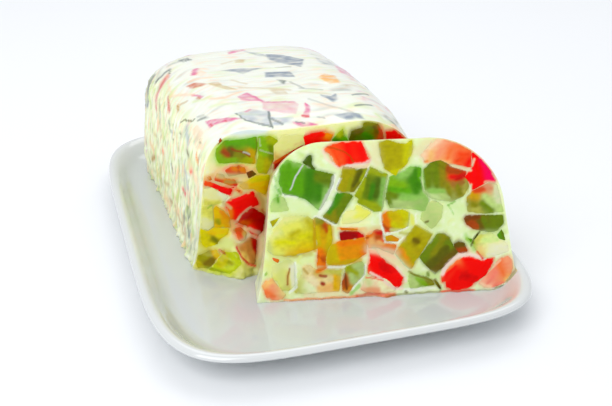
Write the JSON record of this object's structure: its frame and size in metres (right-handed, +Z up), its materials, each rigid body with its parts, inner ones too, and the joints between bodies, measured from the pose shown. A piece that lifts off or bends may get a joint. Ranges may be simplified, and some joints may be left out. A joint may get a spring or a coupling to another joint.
{
  "type": "moulded jelly",
  "caption": "Mosaic milk jelly loaf with coloured jelly pieces, one cut slice leaning on its cut end, on a white rounded rectangular plate.",
  "frame": {"origin": "centre of the plate's outline at the level of its foot", "axes": "+Z up, +Y along the plate from the leaning slice to the uncut end of the loaf, +X to the right when the cut is seen from the front"},
  "size_m": [0.1668, 0.2344, 0.0729],
  "materials": {
    "glaze": "white glaze, glossy, bare clay on the foot ring",
    "cream_jelly": "soft cream-coloured jelly, wet sheen, light passes a little way in",
    "red_jelly": "clear tinted jelly, wet cut face",
    "dark_red_jelly": "clear tinted jelly, wet cut face",
    "salmon_jelly": "clear tinted jelly, wet cut face",
    "orange_jelly": "clear tinted jelly, wet cut face",
    "amber_jelly": "clear tinted jelly, wet cut face",
    "yellow_jelly": "clear tinted jelly, wet cut face",
    "pale_yellow_jelly": "clear tinted jelly, wet cut face",
    "lime_jelly": "clear tinted jelly, wet cut face",
    "green_jelly": "clear tinted jelly, wet cut face",
    "dark_green_jelly": "clear tinted jelly, wet cut face",
    "olive_jelly": "clear tinted jelly, wet cut face",
    "brown_jelly": "clear tinted jelly, wet cut face",
    "beige_jelly": "clear tinted jelly, wet cut face"
  },
  "bodies": {
    "root": {"plate": "glaze", "loaf_green_top": "green_jelly", "loaf_green_side": "lime_jelly", "loaf_cream_yellow": "pale_yellow_jelly", "loaf_red_sliver": "dark_red_jelly", "loaf_red_top": "red_jelly", "loaf_green_peak": "lime_jelly", "loaf_green_right": "dark_green_jelly", "loaf_red_right": "red_jelly", "loaf_orange": "orange_jelly", "loaf_orange_strip": "orange_jelly", "loaf_ochre": "amber_jelly", "loaf_red_bow": "red_jelly", "loaf_beige": "beige_jelly", "loaf_red_cube": "red_jelly", "loaf_red_dark": "dark_red_jelly", "loaf_pale_green": "pale_yellow_jelly", "loaf_amber": "amber_jelly", "loaf_yellow": "yellow_jelly", "loaf_orange_scrap": "orange_jelly", "loaf_plum": "dark_red_jelly", "loaf_olive_low": "olive_jelly", "loaf_lime_low": "lime_jelly", "loaf_cream": "cream_jelly", "slice_red_top": "red_jelly", "slice_yellow_top": "yellow_jelly", "slice_red_corner": "red_jelly", "slice_salmon_top": "salmon_jelly", "slice_green_big": "green_jelly", "slice_green_tip": "dark_green_jelly", "slice_olive_strip": "olive_jelly", "slice_green_cube": "green_jelly", "slice_olive_diagonal": "dark_green_jelly", "slice_green_bright": "lime_jelly", "slice_green_round": "dark_green_jelly", "slice_green_right": "lime_jelly", "slice_olive_right": "dark_green_jelly", "slice_pale_right": "pale_yellow_jelly", "slice_red_big": "red_jelly", "slice_salmon_low": "salmon_jelly", "slice_olive_big": "dark_green_jelly", "slice_brown": "brown_jelly", "slice_amber_diamond": "amber_jelly", "slice_yellow_mid": "yellow_jelly", "slice_pale_strip": "pale_yellow_jelly", "slice_yellow_big": "yellow_jelly", "slice_amber_strip": "amber_jelly", "slice_red_dark": "dark_red_jelly", "slice_amber_mid": "amber_jelly", "slice_pale_left": "pale_yellow_jelly", "slice_orange_left": "salmon_jelly", "slice_beige_left": "beige_jelly", "slice_olive_sliver": "olive_jelly", "slice_red_diagonal": "red_jelly", "slice_beige_low": "beige_jelly", "slice_green_low": "lime_jelly", "slice_apricot": "orange_jelly", "slice_pale_edge": "lime_jelly", "slice_pale_mid": "lime_jelly", "slice_cream": "cream_jelly"}
  },
  "joints": []
}
